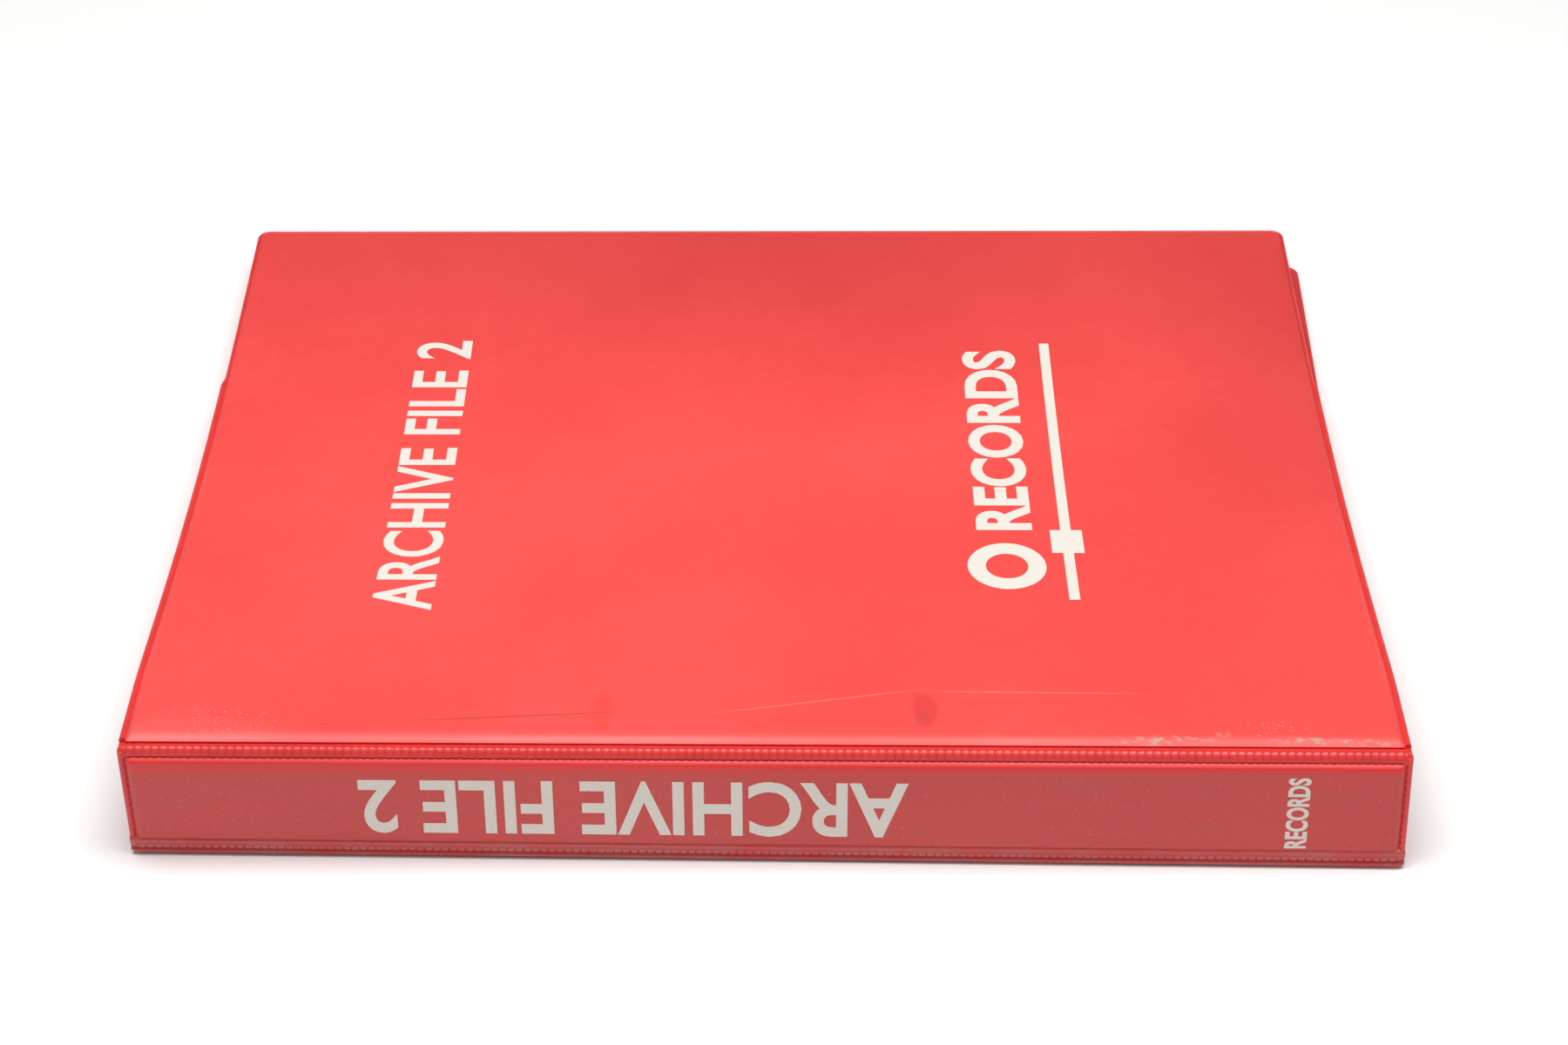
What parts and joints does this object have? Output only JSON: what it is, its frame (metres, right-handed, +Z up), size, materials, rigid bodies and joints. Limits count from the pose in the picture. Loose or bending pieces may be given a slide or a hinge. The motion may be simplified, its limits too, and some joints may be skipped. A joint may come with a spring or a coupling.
{
  "type": "lever arch file",
  "caption": "Slim lever arch file: vinyl-covered front, spine and back panels on welded hinges, with a two-post arch mechanism, lever and sliding compressor bar.",
  "frame": {"origin": "on the table plane under the middle of the closed file, lying on its back cover", "axes": "+X along the spine from left to right as seen from the spine side, +Y from the spine to the fore-edge, +Z up, through the front cover"},
  "size_m": [0.315, 0.27, 0.0337],
  "materials": {
    "cover_vinyl": "red PVC sheet, fine matt grain",
    "liner_vinyl": "red PVC sheet, inner face",
    "weld_vinyl": "red PVC, pressed and ribbed by the welding tool",
    "board": "grey millboard",
    "nickel_plate": "nickel-plated sheet steel",
    "nickel_wire": "bright nickel-plated steel wire",
    "rivet_steel": "plated steel",
    "grip_plastic": "black moulded plastic",
    "roller_plastic": "natural nylon"
  },
  "bodies": {
    "back_cover": {"back_cover_skin": "cover_vinyl", "back_cover_board": "board", "back_cover_liner": "liner_vinyl", "base_plate": "nickel_plate", "left_post": "nickel_wire", "right_post": "nickel_wire", "lever_pin": "nickel_wire", "rivets": "rivet_steel", "rivet_washers": "rivet_steel"},
    "spine": {"spine_skin": "cover_vinyl", "spine_board": "board", "spine_liner": "liner_vinyl", "back_hinge_weld": "weld_vinyl"},
    "front_cover": {"front_cover_skin": "cover_vinyl", "front_cover_board": "board", "front_cover_liner": "liner_vinyl", "front_cover_pocket": "liner_vinyl", "front_hinge_weld": "weld_vinyl"},
    "arches": {"arch_wire": "nickel_wire"},
    "lever": {"lever": "nickel_plate", "lever_grip": "grip_plastic", "roller_pin": "nickel_wire"},
    "roller": {"roller": "roller_plastic"},
    "compressor": {"compressor_bar": "nickel_plate", "compressor_collars": "grip_plastic"}
  },
  "joints": [
    {"name": "back_hinge", "type": "hinge", "parent": "back_cover", "child": "spine", "pos_m": [0, -0.1342, 0.0008], "axis": [1, 0, 0], "range_deg": [0, 90]},
    {"name": "front_hinge", "type": "hinge", "parent": "spine", "child": "front_cover", "pos_m": [0, -0.1342, 0.0332], "axis": [1, 0, 0], "range_deg": [0, 94.4]},
    {"name": "lever_swing", "type": "hinge", "parent": "back_cover", "child": "lever", "pos_m": [-0.01, -0.1263, 0.01201], "axis": [0, -1, 0], "range_deg": [0, 30]},
    {"name": "arch_swing", "type": "hinge", "parent": "back_cover", "child": "arches", "pos_m": [0, -0.1195, 0.00545], "axis": [1, 0, 0], "range_deg": [0, 45]},
    {"name": "roller_spin", "type": "hinge", "parent": "lever", "child": "roller", "pos_m": [-0.02073, -0.1263, 0.01556], "axis": [0, -1, 0], "range_deg": [-30, 0]},
    {"name": "compressor_slide", "type": "slide", "parent": "back_cover", "child": "compressor", "axis": [0, 0, 1], "range_m": [0, 0.00495]}
  ],
  "couplings": [
    {"joint": "arch_swing", "follows": "lever_swing", "ratio": 1.5},
    {"joint": "roller_spin", "follows": "lever_swing", "ratio": -1}
  ]
}
